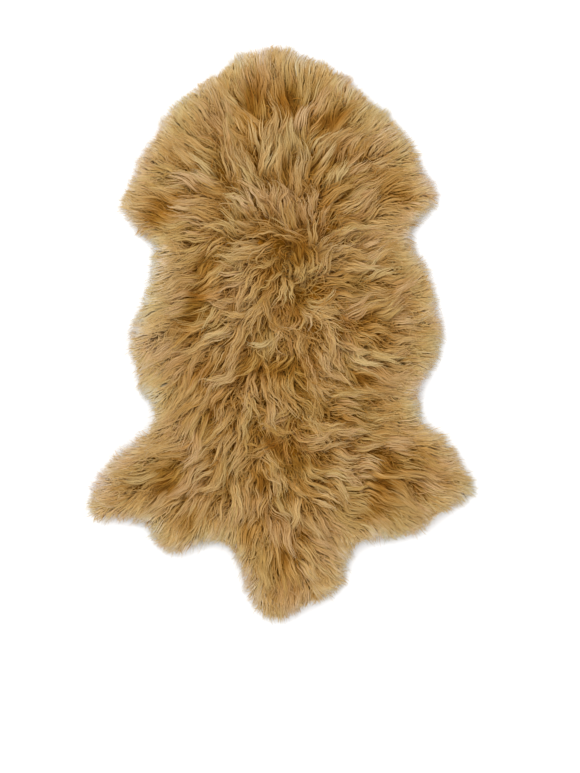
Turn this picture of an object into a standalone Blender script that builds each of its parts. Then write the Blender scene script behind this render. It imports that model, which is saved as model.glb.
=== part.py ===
"""A long-wool sheepskin rug lying flat: one hide with its wool on, modelled as one solid.

Metres, +Z up. The skin lies on Z = 0 with the neck end towards +Y, the tail towards -Y, and
the origin under the middle of its outline. The solid fills the space that the wool takes up:
its rim is the line that the wool tips reach, and its top is the height that the wool stands.
"""

import math

import bmesh
import bpy
import numpy as np
from mathutils import noise, Vector

# Driving dimensions, in metres
LENGTH = 0.950  # neck to tail, over the wool
BACK_HEIGHT = 0.050  # the wool along the middle of the back
EDGE_HEIGHT = 0.038  # the wool a short way in, where it starts to fall to the rim
RIM_HEIGHT = 0.007  # the wool tips at the outline stand this far off the floor
FALL_WIDTH = 0.062  # the wool falls to the rim over this width
RISE_WIDTH = 0.200  # and it rises on to the back over this width

# How uneven the top of the wool is
TUFT_HEIGHT = 0.0035
TUFT_SIZE = 0.060

# The wool parts along the spine, in a shallow trough
PARTING_DEPTH = 0.006
PARTING_WIDTH = 0.045
PARTING_FRONT = 0.120  # y of its end between the shoulders
PARTING_BACK = -0.170  # y of its end over the hips

# The mesh is a turned blank, with a spoke for each point of the smoothed outline and rings
# at these shares of a spoke, from the middle of the back to the rim.
STEPS_PER_POINT = 4
TOP_RINGS = (0.0, 0.10, 0.21, 0.33, 0.46, 0.58, 0.69, 0.79, 0.87, 0.925, 0.965, 0.99, 1.0)
FOOT_RING = 0.965  # the flat underside stops here, a little inside the rim

# The levels of the blank's rim and top over its open foot, which only tell them apart
RIM_LEVEL = 1.0
TOP_LEVEL = 2.0

# At a share s of its spoke, a place is s to these powers of the rim point's x and y, so the
# spokes leave the middle along the spine and turn out to the rim. The inner rings are rounded
# off from the outline's shape to that of this ellipse, by (1 - s) to the power ROUNDING.
ACROSS_POWER = 1.25
ALONG_POWER = 0.85
ELLIPSE_HALF_AXES = (0.25, 0.42)
ROUNDING = 4

# The outline that the wool tips reach, clockwise from the neck as seen from above:
# place, x across the skin, y along it. It is centred, and scaled to LENGTH, below.
OUTLINE = (
    ("neck, middle", 0.000, 0.468),
    ("neck, right lock", 0.044, 0.452),
    ("neck, right", 0.089, 0.429),
    ("right shoulder, inner", 0.137, 0.391),
    ("right shoulder", 0.182, 0.348),
    ("right shoulder, outer", 0.215, 0.303),
    ("right foreleg, front", 0.236, 0.260),
    ("right foreleg, tip", 0.256, 0.222),
    ("right foreleg, back", 0.229, 0.184),
    ("right armpit", 0.212, 0.150),
    ("right ribs, front", 0.240, 0.104),
    ("right ribs", 0.253, 0.050),
    ("right belly", 0.264, -0.008),
    ("right belly, back", 0.245, -0.062),
    ("right flank", 0.227, -0.100),
    ("right groin", 0.231, -0.138),
    ("right hind leg, front", 0.265, -0.166),
    ("right hind leg, outer", 0.297, -0.208),
    ("right hind leg, tip", 0.314, -0.250),
    ("right hind leg, back", 0.279, -0.285),
    ("right thigh, lower", 0.232, -0.321),
    ("right thigh, inner", 0.186, -0.336),
    ("right of the tail, notch", 0.143, -0.341),
    ("tail, right root", 0.114, -0.364),
    ("tail, right side", 0.102, -0.408),
    ("tail, right corner", 0.066, -0.437),
    ("tail, right tip", 0.030, -0.454),
    ("tail, tip", -0.004, -0.469),
    ("tail, left corner", -0.048, -0.444),
    ("tail, left side", -0.066, -0.392),
    ("tail, left root", -0.086, -0.353),
    ("left of the tail, notch", -0.119, -0.343),
    ("left thigh, inner", -0.163, -0.361),
    ("left thigh, lower", -0.201, -0.348),
    ("left thigh, notch", -0.222, -0.314),
    ("left hind leg, back", -0.262, -0.306),
    ("left hind leg, tip", -0.308, -0.303),
    ("left hind leg, outer", -0.307, -0.256),
    ("left hind leg, front", -0.278, -0.199),
    ("left groin, leg", -0.236, -0.166),
    ("left groin", -0.212, -0.132),
    ("left flank", -0.230, -0.088),
    ("left belly", -0.248, -0.030),
    ("left ribs", -0.238, 0.030),
    ("left ribs, front", -0.217, 0.086),
    ("left armpit", -0.211, 0.143),
    ("left foreleg, back", -0.241, 0.169),
    ("left foreleg, tip", -0.262, 0.208),
    ("left foreleg, front", -0.242, 0.262),
    ("left shoulder, outer", -0.214, 0.315),
    ("left shoulder", -0.182, 0.360),
    ("left shoulder, inner", -0.144, 0.400),
    ("neck, left", -0.097, 0.434),
    ("neck, left lock", -0.050, 0.460),
)


def clear_scene():
    for obj in list(bpy.data.objects):
        bpy.data.objects.remove(obj)


def collection_named(name):
    """A new collection in the scene."""
    made = bpy.data.collections.new(name)
    bpy.context.scene.collection.children.link(made)
    return made


def wool_material():
    """Camel-dyed wool: matt, and not metallic."""
    made = bpy.data.materials.new("camel wool")
    made.use_nodes = True
    shader = made.node_tree.nodes["Principled BSDF"]
    shader.inputs["Base Color"].default_value = (0.42, 0.26, 0.11, 1.0)
    shader.inputs["Roughness"].default_value = 0.8
    shader.inputs["Metallic"].default_value = 0.0
    return made


def outline_guide(guides):
    """The outline as a closed, smooth curve through its named places, kept as a wire guide."""
    curve = bpy.data.curves.new("outline", "CURVE")
    curve.dimensions = "2D"
    curve.resolution_u = STEPS_PER_POINT
    spline = curve.splines.new("BEZIER")
    spline.bezier_points.add(len(OUTLINE) - 1)
    for point, (_, x, y) in zip(spline.bezier_points, OUTLINE):
        point.co = (x, y, 0.0)
        point.handle_left_type = "AUTO"
        point.handle_right_type = "AUTO"
    spline.use_cyclic_u = True
    guide = bpy.data.objects.new("outline", curve)
    guide.hide_render = True
    guide.display_type = "WIRE"
    guides.objects.link(guide)
    return guide


def outline_points(guide):
    """The guide's points, one for each spoke, centred on the origin and LENGTH long."""
    mesh = bpy.data.meshes.new_from_object(guide)
    points = np.array([vertex.co.xy for vertex in mesh.vertices])
    bpy.data.meshes.remove(mesh)
    low, high = points.min(axis=0), points.max(axis=0)
    return (points - (low + high) / 2) * LENGTH / (high[1] - low[1])


def distance_to_outline(places, outline):
    """How far each place is from the nearest side of the outline."""
    start, side = outline, np.roll(outline, -1, axis=0) - outline
    to_place = places[:, None] - start
    along = (to_place * side).sum(axis=2) / (side**2).sum(axis=1)
    nearest = start + along.clip(0, 1)[:, :, None] * side
    return np.linalg.norm(places[:, None] - nearest, axis=2).min(axis=1)


def parting(places):
    """How deep the parting is at each place: PARTING_DEPTH on the middle of its line, and
    falling away like a bell curve with the distance from it."""
    x, y = places.T
    past_end = y - y.clip(PARTING_BACK, PARTING_FRONT)
    return PARTING_DEPTH * np.exp(-(x**2 + past_end**2) / (PARTING_WIDTH / 2) ** 2)


def wool_height(places, outline):
    """The height of the wool at each place: it rises in a quarter round from the rim to
    EDGE_HEIGHT, and goes on rising gently to BACK_HEIGHT, with tufts and the parting."""
    inside = distance_to_outline(places, outline)
    fall = (inside / FALL_WIDTH).clip(0, 1)
    rise = (inside / RISE_WIDTH).clip(0, 1)
    shoulder = np.sqrt(1 - (1 - fall) ** 2)
    back = 0.5 - 0.5 * np.cos(math.pi * rise)
    height = RIM_HEIGHT + (EDGE_HEIGHT - RIM_HEIGHT) * shoulder + (BACK_HEIGHT - EDGE_HEIGHT) * back
    tufts = np.array([noise.noise(Vector((x, y, 0.0)) / TUFT_SIZE) for x, y in places])
    return height + TUFT_HEIGHT * tufts * fall - parting(places)


def blank(name):
    """A turned cap of radius 1, with its top at TOP_LEVEL, its rim at RIM_LEVEL and its open
    foot at 0: a profile from the top of the axis, out over the rim and in to the foot, with a
    Screw modifier."""
    *top, rim = TOP_RINGS
    profile = [(share, 0.0, TOP_LEVEL) for share in top]
    profile += [(rim, 0.0, RIM_LEVEL), (FOOT_RING, 0.0, 0.0)]
    mesh = bpy.data.meshes.new(name)
    mesh.from_pydata(profile, [(i, i + 1) for i in range(len(profile) - 1)], [])
    turned = bpy.data.objects.new(name, mesh)
    screw = turned.modifiers.new("turn", "SCREW")
    screw.steps = screw.render_steps = len(OUTLINE) * STEPS_PER_POINT
    screw.use_merge_vertices = True
    screw.merge_threshold = 0.0001
    bpy.context.scene.collection.objects.link(turned)
    bpy.context.view_layer.update()
    evaluated = turned.evaluated_get(bpy.context.evaluated_depsgraph_get())
    solid = bpy.data.meshes.new_from_object(evaluated)
    bpy.data.objects.remove(turned)
    return solid


def spoke_places(turned, outline):
    """The place on the skin of each point of the blank: its spoke is the one at its turn
    about the axis, and its share of that spoke is its radius."""
    x, y, _ = turned.T
    clockwise = np.arctan2(x, y)
    spokes = np.rint(clockwise / math.tau * len(outline)).astype(int) % len(outline)
    ellipse = np.column_stack([np.sin(clockwise), np.cos(clockwise)]) * ELLIPSE_HALF_AXES
    shares = np.hypot(x, y)[:, None]
    rounded = (1 - shares.clip(0, 1)) ** ROUNDING
    rim = (1 - rounded) * outline[spokes] + rounded * ellipse
    return rim * shares ** (ACROSS_POWER, ALONG_POWER)


def sheepskin(collection, outline):
    """The hide with its wool, as one closed solid: the blank laid out to the outline, and
    closed below with one flat face."""
    mesh = blank("sheepskin")
    turned = np.array([vertex.co for vertex in mesh.vertices])
    places = spoke_places(turned, outline)
    height = RIM_HEIGHT * turned[:, 2] / RIM_LEVEL
    on_top = turned[:, 2] > (RIM_LEVEL + TOP_LEVEL) / 2
    height[on_top] = wool_height(places[on_top], outline)
    mesh.vertices.foreach_set("co", np.column_stack([places, height]).ravel())
    body = bmesh.new()
    body.from_mesh(mesh)
    bmesh.ops.holes_fill(body, edges=body.edges)
    bmesh.ops.recalc_face_normals(body, faces=body.faces)
    body.to_mesh(mesh)
    body.free()
    mesh.shade_smooth()
    made = bpy.data.objects.new("sheepskin", mesh)
    made.data.materials.append(wool_material())
    collection.objects.link(made)
    return made


def main():
    clear_scene()
    rug = collection_named("sheepskin rug")
    guides = collection_named("guides")
    outline = outline_points(outline_guide(guides))
    sheepskin(rug, outline)


main()
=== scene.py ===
"""The looks of a long-wool sheepskin rug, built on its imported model.

The tanned hide is a thin sheet on the floor. A dense undercoat stands on it, then come short,
curly hairs, and over them lie the locks of wool: some thousands of locks, each a few hairs
that share a wave and draw together towards their tips. The locks belong to tufts, which share
more of it. Each hair is a narrow ribbon. The wool is combed as on the real skin, away from the
spine and out over the edge of the hide, by the directions in COMBING. It is parted and heaped
by HOLLOWS, and EDGE_TUFTS says where it stands out past the edge or stops short of it.
"""

import math

import bmesh
import bpy
import numpy as np
from bpy.props import FloatProperty, FloatVectorProperty, IntProperty, PointerProperty
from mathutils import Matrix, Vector
from mathutils.bvhtree import BVHTree
from mathutils.geometry import delaunay_2d_cdt


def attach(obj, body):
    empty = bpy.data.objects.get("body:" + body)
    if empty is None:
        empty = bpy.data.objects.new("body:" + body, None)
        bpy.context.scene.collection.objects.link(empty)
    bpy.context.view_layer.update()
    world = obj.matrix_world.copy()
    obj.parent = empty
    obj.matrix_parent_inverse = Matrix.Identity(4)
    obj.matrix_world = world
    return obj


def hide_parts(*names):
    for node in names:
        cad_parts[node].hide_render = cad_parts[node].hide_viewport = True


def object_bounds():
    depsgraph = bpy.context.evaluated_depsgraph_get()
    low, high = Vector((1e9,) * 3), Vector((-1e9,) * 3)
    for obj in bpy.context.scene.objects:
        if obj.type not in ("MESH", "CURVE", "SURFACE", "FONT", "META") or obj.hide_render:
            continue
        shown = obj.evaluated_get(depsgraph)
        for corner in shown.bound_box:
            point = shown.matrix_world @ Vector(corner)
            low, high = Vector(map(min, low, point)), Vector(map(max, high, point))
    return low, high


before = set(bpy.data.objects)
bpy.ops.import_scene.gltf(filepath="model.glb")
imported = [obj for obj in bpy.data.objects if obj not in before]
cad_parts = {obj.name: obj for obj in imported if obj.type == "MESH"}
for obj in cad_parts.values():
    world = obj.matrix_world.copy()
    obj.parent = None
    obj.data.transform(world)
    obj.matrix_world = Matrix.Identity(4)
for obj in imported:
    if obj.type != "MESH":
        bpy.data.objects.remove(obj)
CAD_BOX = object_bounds()
NODE = "sheepskin"

bl_info = {
    "name": "Sheepskin Rug",
    "version": (1, 0, 0),
    "blender": (4, 5, 0),
    "location": "3D View > Sidebar > Sheepskin",
    "description": "Lays out a long-wool sheepskin rug: hide, undercoat and locks of wool",
    "category": "Add Mesh",
}

# ---------------------------------------------------------------- sizes, in metres

MM = 0.001
UV_NAME = "OFBake"

GRID_STEP = 3 * MM  # spacing of the grids that hold the height and the combing
GRID_MARGIN = 30 * MM  # they reach this far past the CAD box

SKIN_THICKNESS = 2.5 * MM
SKIN_INSET = 22 * MM  # the hide ends this far inside the line of the wool tips
SKIN_TRIANGLE = 15 * MM  # side of its triangles
UNDERCOAT_INSET = 20 * MM  # the undercoat ends this far inside that line
UNDERCOAT_SHARE = 0.44  # of the wool's height
UNDERCOAT_ROUGH = 0.10  # how uneven that share is
UNDERCOAT_RISE = 30 * MM  # it rises to it over this width
UNDERCOAT_TRIANGLE = 7 * MM
RIM_HEIGHT = 7 * MM  # of the wool tips at the outline, as in the CAD solid
LOWEST_HAIR = 0.8 * MM  # no hair is nearer than this to the floor

# A line inside the outline is found in this many rounds, each this share of the way
CONTOUR_ROUNDS = 60
CONTOUR_SHARE = 0.35

# The spine, where the wool is curliest and stands up most
SPINE_X = 0.004
SPINE_FRONT = 0.120
SPINE_BACK = -0.150
SPINE_WIDTH = 0.100

# The whorl, about which the wool turns as it leaves it
WHORL_X = 0.014
WHORL_Y = 0.124
WHORL_REACH = 0.050
WHORL_TURN = math.radians(65)

# How the wool is combed: place, x across, y along, direction in degrees, where 0 is +X (the
# right side) and 90 is +Y (the neck).
COMBING = (
    ("neck, middle", 0.007, 0.423, 90),
    ("neck, left", -0.075, 0.391, 110),
    ("neck, right", 0.080, 0.399, 62),
    ("left shoulder", -0.149, 0.341, 140),
    ("right shoulder", 0.154, 0.333, 40),
    ("left foreleg", -0.223, 0.243, 165),
    ("right foreleg", 0.219, 0.235, 2),
    ("between the shoulders, front", 0.007, 0.300, 86),
    ("left of it", -0.067, 0.284, 118),
    ("right of it", 0.080, 0.284, 57),
    ("left shoulder blade", -0.141, 0.243, 148),
    ("right shoulder blade", 0.154, 0.243, 24),
    ("between the shoulders, back", 0.007, 0.194, 90),
    ("left whorl, front", -0.060, 0.194, 126),
    ("left ribs, front", -0.133, 0.183, 176),
    ("left armpit", -0.198, 0.194, 168),
    ("right whorl, front", 0.080, 0.194, 45),
    ("right ribs, front", 0.146, 0.178, 20),
    ("right armpit", 0.211, 0.178, 2),
    ("left side, front", -0.182, 0.117, 188),
    ("left whorl, outer", -0.112, 0.118, 232),
    ("left whorl, inner", -0.051, 0.127, 184),
    ("right whorl", 0.080, 0.122, 22),
    ("right side, front", 0.190, 0.125, 9),
    ("left side", -0.198, 0.055, 200),
    ("left ribs", -0.133, 0.055, 202),
    ("left of the spine", -0.060, 0.055, 222),
    ("spine, front", -0.008, 0.062, 240),
    ("right of the spine", 0.060, 0.062, 345),
    ("right ribs", 0.129, 0.058, 356),
    ("right side", 0.205, 0.070, 16),
    ("right belly", 0.240, 0.010, 352),
    ("left belly", -0.198, -0.022, 212),
    ("left loin", -0.133, -0.022, 210),
    ("left of the spine, back", -0.062, -0.027, 236),
    ("spine, middle", 0.002, -0.030, 262),
    ("right of the spine, back", 0.056, -0.019, 292),
    ("right loin", 0.105, -0.022, 326),
    ("right flank, front", 0.180, -0.022, 4),
    ("left flank", -0.190, -0.090, 222),
    ("left hip, front", -0.110, -0.090, 230),
    ("spine, back", -0.010, -0.100, 260),
    ("right hip, front", 0.056, -0.086, 316),
    ("right flank, inner", 0.120, -0.090, 344),
    ("right flank", 0.205, -0.095, 2),
    ("left hip", -0.120, -0.158, 240),
    ("left groin", -0.195, -0.160, 212),
    ("croup", -0.030, -0.165, 248),
    ("right hip", 0.050, -0.160, 318),
    ("right hip, outer", 0.115, -0.165, 356),
    ("right groin", 0.211, -0.158, 354),
    ("left hind leg", -0.250, -0.215, 183),
    ("left hind leg, root", -0.192, -0.218, 200),
    ("left thigh", -0.133, -0.220, 236),
    ("left rump", -0.060, -0.215, 246),
    ("rump", -0.002, -0.215, 276),
    ("right rump", 0.050, -0.215, 326),
    ("right thigh", 0.113, -0.215, 359),
    ("right hind leg, root", 0.172, -0.205, 354),
    ("right hind leg, parting", 0.190, -0.245, 320),
    ("right hind leg", 0.270, -0.220, 350),
    ("left hind leg, tip", -0.285, -0.275, 192),
    ("left hind leg, back", -0.215, -0.281, 222),
    ("left thigh, back", -0.141, -0.290, 237),
    ("left of the tail", -0.067, -0.285, 254),
    ("tail, root", -0.008, -0.285, 286),
    ("right of the tail", 0.052, -0.285, 322),
    ("right thigh, back", 0.113, -0.275, 342),
    ("right thigh, edge", 0.125, -0.318, 304),
    ("right hind leg, back", 0.200, -0.290, 322),
    ("right hind leg, tip", 0.280, -0.275, 338),
    ("tail, left", -0.055, -0.375, 258),
    ("tail, middle", 0.007, -0.380, 280),
    ("tail, right", 0.064, -0.375, 312),
    ("tail, tip", -0.010, -0.440, 272),
)
COMBING_REACH = 30 * MM  # how far each direction carries
FRINGE_WIDTH = 30 * MM  # this near the outline, the wool turns to point straight out
FRINGE_PULL = 0.9  # and as strongly as this, where its combing has a strength of 1
STRAY = 0.14  # how far the wool strays from its combing
BRUSHED_FROM, BRUSHED_TO = 85 * MM, 30 * MM  # it is brushed out more and more between these

# Where the wool parts and sinks, so that its deeper part shows, with its colour darkened there
# as painted shade, and crests, where it bulges, with its colour paled there as a painted
# highlight: place, x, y, direction of the long way in degrees, half the length, half the width,
# depth (below 0 for a crest).
HOLLOWS = (
    ("whorl", 0.031, 0.142, 85, 0.036, 0.020, 1.0),
    ("left of the whorl", -0.030, 0.158, 165, 0.034, 0.013, 0.45),
    ("below the whorl", 0.018, 0.114, 30, 0.026, 0.016, 0.7),
    ("spine, front", 0.026, 0.038, 85, 0.026, 0.014, 0.9),
    ("spine, left", -0.026, 0.076, 60, 0.026, 0.014, 0.5),
    ("spine, middle", -0.010, -0.060, 15, 0.040, 0.017, 0.9),
    ("spine, right", 0.040, -0.068, 80, 0.028, 0.014, 0.9),
    ("spine, back", -0.012, -0.184, 130, 0.028, 0.012, 0.9),
    ("spine, back right", 0.030, -0.214, 10, 0.026, 0.008, 0.5),
    ("croup", -0.031, -0.245, 95, 0.020, 0.013, 1.0),
    ("neck, left", -0.045, 0.376, 95, 0.036, 0.018, 1.0),
    ("neck, middle", 0.008, 0.374, 85, 0.030, 0.016, 1.0),
    ("neck, right", 0.084, 0.350, 30, 0.034, 0.015, 0.9),
    ("shoulders, middle", 0.008, 0.270, 90, 0.026, 0.012, 1.0),
    ("shoulders, right", 0.056, 0.274, 60, 0.022, 0.011, 0.9),
    ("shoulders, far right", 0.095, 0.278, 50, 0.022, 0.010, 0.8),
    ("right shoulder blade", 0.100, 0.224, 30, 0.040, 0.009, 0.6),
    ("left foreleg", -0.200, 0.196, 35, 0.038, 0.024, 0.9),
    ("right foreleg", 0.196, 0.230, 150, 0.030, 0.018, 0.7),
    ("left ribs, front", -0.126, 0.098, 75, 0.042, 0.016, 0.9),
    ("left ribs", -0.148, 0.032, 65, 0.044, 0.021, 1.0),
    ("left flank", -0.118, -0.058, 40, 0.044, 0.011, 0.8),
    ("left loin", -0.060, -0.055, 60, 0.026, 0.009, 0.6),
    ("left hip", -0.110, -0.130, 70, 0.036, 0.011, 0.6),
    ("left hind leg, root", -0.190, -0.245, 70, 0.030, 0.020, 1.0),
    ("left thigh, edge", -0.152, -0.308, 100, 0.024, 0.018, 0.6),
    ("right ribs", 0.146, 0.020, 60, 0.020, 0.010, 0.5),
    ("right flank", 0.134, -0.074, 20, 0.028, 0.013, 1.0),
    ("right hip", 0.110, -0.140, 160, 0.034, 0.009, 0.5),
    ("right hind leg, root", 0.165, -0.250, 75, 0.038, 0.020, 1.0),
    ("right thigh, edge", 0.148, -0.296, 30, 0.028, 0.014, 0.6),
    ("tail, left", -0.052, -0.328, 80, 0.024, 0.013, 0.8),
    ("tail, middle", 0.006, -0.360, 80, 0.030, 0.013, 0.5),
    ("lower back, wide", 0.010, -0.150, 90, 0.120, 0.080, 0.22),
    ("neck, wide", 0.010, 0.385, 0, 0.100, 0.050, 0.24),
    ("tail, wide", 0.000, -0.390, 90, 0.080, 0.060, 0.24),
    ("right hind leg, wide", 0.215, -0.215, 150, 0.060, 0.045, 0.28),
    ("crest along the left side", -0.200, 0.010, 90, 0.110, 0.036, -0.75),
    ("crest on the left hind leg", -0.262, -0.250, 0, 0.034, 0.026, -0.6),
    ("crest left of the whorl", -0.064, 0.092, 112, 0.044, 0.020, -0.7),
    ("crest on the left ribs", -0.122, -0.020, 35, 0.046, 0.012, -0.7),
    ("crest on the left hip", -0.082, -0.125, 68, 0.040, 0.010, -0.5),
    ("crest right of the whorl", 0.112, 0.142, 40, 0.070, 0.018, -0.7),
    ("crest on the right ribs", 0.118, -0.032, 160, 0.040, 0.010, -0.6),
    ("crest on the shoulders", 0.060, 0.312, 30, 0.040, 0.012, -0.5),
    ("crest on the neck", -0.015, 0.300, 95, 0.036, 0.012, -0.4),
    ("crest on the right thigh", 0.110, -0.260, 80, 0.030, 0.014, -0.5),
)
HOLLOW_UNEVEN = 0.34  # how much deeper or higher than these a lock lies
HOLLOW_DROP = 0.36  # the share of its height that the wool loses in the deepest hollow
CREST_GAIN = 0.25  # the share of that which it gains on the highest crest

# Where tufts stand out past the CAD rim, and notches, where the wool stops short of it:
# place, x, y, how far out, half the width.
EDGE_TUFTS = (
    ("neck, middle", 0.002, 0.464, 0.005, 0.014),
    ("neck, left tuft", -0.056, 0.457, 0.006, 0.010),
    ("notch left of the neck", -0.038, 0.463, -0.008, 0.009),
    ("neck, left", -0.106, 0.431, -0.009, 0.024),
    ("left shoulder", -0.170, 0.376, 0.005, 0.016),
    ("left shoulder, outer", -0.211, 0.324, -0.010, 0.018),
    ("left foreleg, front", -0.233, 0.274, 0.007, 0.016),
    ("left foreleg, tip", -0.256, 0.237, -0.006, 0.018),
    ("left foreleg, back", -0.230, 0.168, 0.009, 0.020),
    ("left ribs", -0.235, 0.028, 0.006, 0.026),
    ("left belly", -0.242, -0.053, -0.005, 0.018),
    ("left flank", -0.226, -0.094, 0.005, 0.018),
    ("left groin", -0.213, -0.137, -0.006, 0.018),
    ("left hind leg, front", -0.265, -0.196, 0.005, 0.018),
    ("left hind leg, tip", -0.284, -0.303, 0.009, 0.018),
    ("left hind leg, back", -0.241, -0.307, 0.004, 0.014),
    ("left thigh, inner", -0.105, -0.349, -0.007, 0.024),
    ("tail, left", -0.052, -0.422, 0.009, 0.016),
    ("tail, right tip", 0.038, -0.453, -0.008, 0.013),
    ("tail, right", 0.074, -0.431, 0.008, 0.017),
    ("right of the tail", 0.131, -0.351, -0.010, 0.019),
    ("right hind leg, back", 0.262, -0.300, -0.009, 0.018),
    ("right hind leg, front", 0.270, -0.181, 0.010, 0.019),
    ("right flank", 0.234, -0.086, -0.006, 0.018),
    ("right armpit", 0.223, 0.174, -0.007, 0.018),
    ("right foreleg", 0.249, 0.219, 0.007, 0.015),
    ("right shoulder, outer", 0.215, 0.305, 0.005, 0.015),
    ("right shoulder", 0.198, 0.337, -0.006, 0.015),
    ("right shoulder, inner", 0.149, 0.382, -0.005, 0.016),
    ("neck, right", 0.098, 0.418, 0.009, 0.024),
)
EDGE_UNEVEN = 1.7 * MM  # how uneven the outline is besides

# The wool is made in pieces, by where its roots are: name, lowest and highest x, lowest and
# highest y. A lock belongs to the first that holds its root.
WOOL_PIECES = (
    ("wool_neck", -1.0, 1.0, 0.265, 1.0),
    ("wool_left_shoulder", -1.0, 0.0, 0.125, 0.265),
    ("wool_right_shoulder", 0.0, 1.0, 0.125, 0.265),
    ("wool_left_side", -1.0, -0.105, -0.125, 0.125),
    ("wool_right_side", 0.105, 1.0, -0.125, 0.125),
    ("wool_back", -0.105, 0.105, -0.125, 0.125),
    ("wool_left_haunch", -1.0, -0.06, -1.0, -0.125),
    ("wool_right_haunch", 0.075, 1.0, -1.0, -0.125),
    ("wool_tail", -0.06, 0.075, -1.0, -0.125),
)

FRINGE = "wool_fringe"
UNDERWOOL = "wool_under"

# Unevenness that all the wool shares: its name, its wavelength and the seed of its waves
SWELLS = {
    "combing, x": (55 * MM, 31),
    "combing, y": (55 * MM, 32),
    "outline": (15 * MM, 41),
    "hollows": (27 * MM, 33),
    "undercoat": (22 * MM, 3),
    "long bends": (60 * MM, 5),
    "short bends": (26 * MM, 6),
    "height": (38 * MM, 7),
    "broad patches": (90 * MM, 8),
    "small patches": (30 * MM, 9),
    "first hue": (75 * MM, 21),
    "second hue": (95 * MM, 22),
}
SWELL_WAVES = 20  # sine waves in each

# Each lock and short hair walks over the skin in steps. The wool bends with two swells by
# these angles, and a tuft's own turn and bend carry TUFT_REACH.
WALK_STEP = 3 * MM
WALK_STEPS = 26
LONG_BENDS = 0.09
SHORT_BENDS = 0.08
TUFT_REACH = 8 * MM

# How far tufts, and the locks in them, differ from each other: anywhere, more on the spine,
# and more where the wool stands up. A turn is an angle, and a bend an angle for each metre.
TUFT_TURN = (0.10, 0.28, 0.6)
TUFT_BEND = (3, 9, 0)
LOCK_TURN = (0.05, 0.10, 0.9)
LOCK_BEND = (1, 3, 0)

# The rows of a ribbon, as shares of its hair's length, and the powers by which hairs rise
HAIR_ROWS = np.concatenate([[0.10], np.linspace(0.26, 1.0, 9)])
UNDERWOOL_ROWS = np.linspace(0.1, 1.0, 5)
FRINGE_ROWS = np.linspace(0.15, 1.0, 6)
HAIR_RISE = 2.4
SHORT_RISE = 2.2

# The ranges of what is drawn for each tuft, lock or hair: lengths, crimps, depths of the
# waves and widths as shares of the usual one, and levels as shares of the wool's height. The
# underwool's lengths and the fringe's depths are in millimetres.
TUFT_LENGTHS = (0.8, 1.15)
TUFT_LEVELS = (0.80, 1.0)
TUFT_CRIMPS = (0.8, 1.3)
TUFT_DEPTHS = (0.6, 1.3)
LOCK_LENGTHS = (0.9, 1.1)
LOCK_CRIMPS = (0.93, 1.07)
HAIR_LENGTHS = (0.58, 1.05)
HAIR_DEPTHS = (0.7, 1.3)
HAIR_WIDTHS = (0.7, 1.25)
UNDERWOOL_LENGTHS = (18, 34)
UNDERWOOL_LEVELS = (0.60, 0.88)
UNDERWOOL_WIDTHS = (0.9, 1.3)
FRINGE_DEPTHS = (0.2, 0.9)
FRINGE_LENGTHS = (0.62, 1.04)
FRINGE_CRIMPS = (0.5, 1.0)
FRINGE_LEVELS = (0.1, 1.1)
FRINGE_WIDTHS = (0.22, 0.46)

# How the locks and hairs lie, as shares unless they are angles
TUFT_CLOSING = 0.60  # how far a lock's tip is drawn in to its tuft's own path
LOCK_CLOSING = (0.15, 0.65)  # and a hair's to the middle of its lock, from this to that
LOCK_FLATNESS = 0.15  # of its width, the height of a lock
UPRIGHT_SHORT = 0.6  # where the wool stands up, it is shorter by this
FLAT_WAVES = 0.35  # of the waves' depth on the spine, that far from it
HEAVE = 0.2  # of a wave's reach sideways, that up and down
DOME_DROP = 0.19  # the wool is lower by this at the edge of a tuft
DOME_REACH = 0.6  # of the tufts' spacing, from the middle of a tuft to that edge
LEVEL_UNEVEN = 0.05  # how uneven the level is, over several tufts
HAIR_UNEVEN = 0.025  # and from hair to hair
HAIR_ROLL = 0.12  # the angle by which ribbons roll about their own lines
HAIR_TWIST = 0.15  # and by which they twist from root to tip
UNDERWOOL_ROLL = 0.5
FRINGE_ROLL = 0.7

# What brushing out takes away, as a share of it
BRUSHED_EVEN = 0.85  # of how uneven the locks and hairs are
BRUSHED_WAVES = 0.6  # of the waves' depth
BRUSHED_HOLLOWS = 0.5  # of the hollows' unevenness
BRUSHED_TONE = 0.4  # of the tufts' tones

# Brushed wool goes to this level and ripeness, by these shares of the way, and the hairs that
# end at the rim go on to a level of their own
BRUSHED_LEVEL, BRUSHED_LIFT = 0.92, 0.7
BRUSHED_RIPE, BRUSHED_RIPENS = 0.62, 0.5
RIM_LEVEL, RIM_LIFT = 0.98, 0.6

# The wool's tone, from 0, dark, to 1, pale
MIDDLE_TONE = 0.46
MOST_TONE = 0.71  # of a lock's hair, before the rim's are made paler
BROAD_PATCHES = 0.07
SMALL_PATCHES = 0.05
HOLLOW_SHADE_TONE = 0.12  # darker by this in the deepest hollow, as painted shade
CURL_TONE = 0.08  # by this on the spine
BRUSHED_DARKER = 0.06  # and by this where it is brushed out
RIM_PALER = 0.34  # but paler by this at the rim
TUFT_TONE = 0.13  # how far the tufts differ
LOCK_TONE = 0.04  # and the locks in a tuft
HAIR_TONE = 0.05  # and the hairs in a lock
UNDERWOOL_TONE = 0.36
FRINGE_TONE = 0.74
HOLLOW_SHADE = 0.92  # the share of the way back to the root's colour in the deepest hollow, as painted shade
CREST_HIGHLIGHT = 0.4  # and the share of the way on to the tip's on the highest crest, as a painted highlight
HUE_SCATTER = 0.4  # how far the patches of hue run into one another
SECOND_HUE_FROM = 0.15  # the level of its swell from which it shows

# The photograph's frame in its own pixels: how high it is, where its middle is, and where the
# middle of the rug is in it, to the right and down. The rug is RUG_PIXELS from neck to tail.
PICTURE_HEIGHT = 773
PICTURE_MIDDLE = (290.0, 386.5)
RUG_MIDDLE = (281.0, 333.5)
RUG_PIXELS = 580
RUG_LEVEL = 20 * MM  # the height in the wool at which a pixel is as large as that makes it
SENSOR = 36 * MM  # the camera's, along its longer side
FLOOR_HALF = 6.0  # half the side of the floor
LAMP_SIZE = 3.0
LAMP_PLACE = (-0.9, 1.1, 2.6)


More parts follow.
